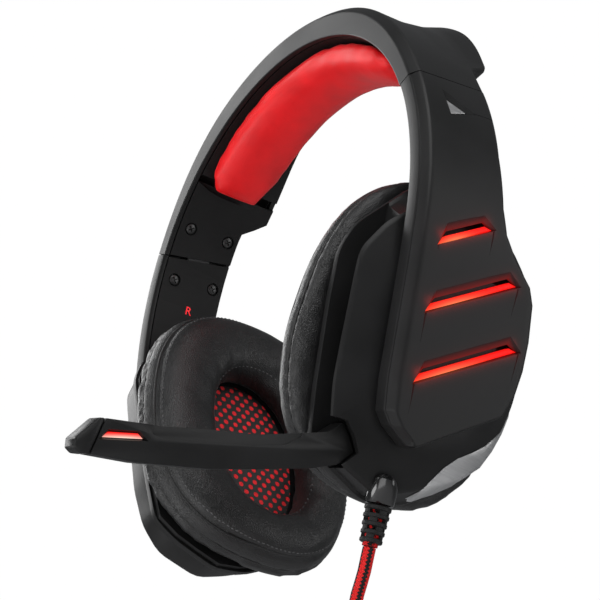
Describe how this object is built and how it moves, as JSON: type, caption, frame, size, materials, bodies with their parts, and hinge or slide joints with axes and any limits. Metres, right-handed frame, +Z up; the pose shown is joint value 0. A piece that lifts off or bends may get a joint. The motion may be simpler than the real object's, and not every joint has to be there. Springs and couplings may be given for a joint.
{
  "type": "gaming headset",
  "caption": "Over-ear headset with a sprung headband, sliding lit arms, tilting oval ear cups, a swinging boom microphone and a braided cable.",
  "frame": {"origin": "middle of the wearer's head, midway between the ear cups", "axes": "+X towards the wearer's left, where the microphone and cable are; the wearer faces -Y; +Z up to the crown"},
  "size_m": [0.1686, 0.1453, 0.3318],
  "materials": {
    "black_plastic": "satin",
    "black_leather": "soft grained leatherette",
    "red_leather": "smooth leatherette",
    "red_light": "lit translucent",
    "spring_steel": "brushed",
    "silver": "brushed",
    "dark_steel": "blackened",
    "board": "circuit board",
    "mesh_cloth": "black mesh over red cloth",
    "black_rubber": "gloss",
    "red_black_braid": "woven",
    "plug_metal": "bright"
  },
  "bodies": {
    "headband": {"headband_outer_shell": "black_plastic", "headband_pad_base": "black_plastic", "headband_spring": "spring_steel", "head_pad": "red_leather", "left_slider_cover": "black_plastic", "left_slider_cover_screw_1": "dark_steel", "left_slider_cover_screw_2": "dark_steel", "right_slider_cover": "black_plastic", "right_slider_cover_screw_1": "dark_steel", "right_slider_cover_screw_2": "dark_steel"},
    "arm_left": {"left_arm_outer_shell": "black_plastic", "left_arm_inner_shell": "black_plastic", "left_slider_strip": "spring_steel", "left_arm_badge": "silver", "left_light_board": "board", "left_light_guide_1": "red_light", "left_light_guide_2": "red_light", "left_light_guide_3": "red_light", "left_arm_screw_1": "dark_steel", "left_arm_screw_2": "dark_steel"},
    "cup_left": {"left_cup_housing": "black_plastic", "left_cup_accent": "silver", "left_baffle": "black_plastic", "left_driver": "dark_steel", "left_driver_mesh": "mesh_cloth", "left_ear_cushion": "black_leather", "left_tilt_pin": "spring_steel", "main_board": "board", "mic_pivot_pin": "spring_steel", "cable_gland": "black_rubber", "cable_strain_relief": "black_rubber", "cord": "red_black_braid", "cord_coil": "red_black_braid", "cord_tail": "red_black_braid", "cable_tie": "black_rubber", "usb_plug_body": "black_rubber", "usb_plug_shell": "plug_metal"},
    "arm_right": {"right_arm_outer_shell": "black_plastic", "right_arm_inner_shell": "black_plastic", "right_slider_strip": "spring_steel", "right_arm_badge": "silver", "right_light_board": "board", "right_light_guide_1": "red_light", "right_light_guide_2": "red_light", "right_light_guide_3": "red_light", "right_arm_screw_1": "dark_steel", "right_arm_screw_2": "dark_steel"},
    "cup_right": {"right_cup_housing": "black_plastic", "right_cup_accent": "silver", "right_baffle": "black_plastic", "right_driver": "dark_steel", "right_driver_mesh": "mesh_cloth", "right_ear_cushion": "black_leather", "right_tilt_pin": "spring_steel"},
    "mic_boom": {"mic_boom_shell": "black_plastic", "mic_tip_cap": "black_plastic", "mic_light_guide": "red_light", "mic_capsule": "dark_steel"}
  },
  "joints": [
    {"name": "left_arm_slide", "type": "slide", "parent": "headband", "child": "arm_left", "axis": [0.4772, 0, -0.8788], "range_m": [0, 0.02]},
    {"name": "right_arm_slide", "type": "slide", "parent": "headband", "child": "arm_right", "axis": [-0.4772, 0, -0.8788], "range_m": [0, 0.02]},
    {"name": "left_cup_tilt", "type": "hinge", "parent": "arm_left", "child": "cup_left", "pos_m": [0.06388, 0, -0.00357], "axis": [0, 1, 0], "range_deg": [-3, 2.4]},
    {"name": "right_cup_tilt", "type": "hinge", "parent": "arm_right", "child": "cup_right", "pos_m": [-0.06388, 0, -0.00357], "axis": [0, 1, 0], "range_deg": [-2.4, 3]},
    {"name": "mic_boom_swing", "type": "hinge", "parent": "cup_left", "child": "mic_boom", "pos_m": [0.04847, -0.0285, -0.03602], "axis": [-0.9583, 0, 0.2857], "range_deg": [-12, 100]}
  ]
}
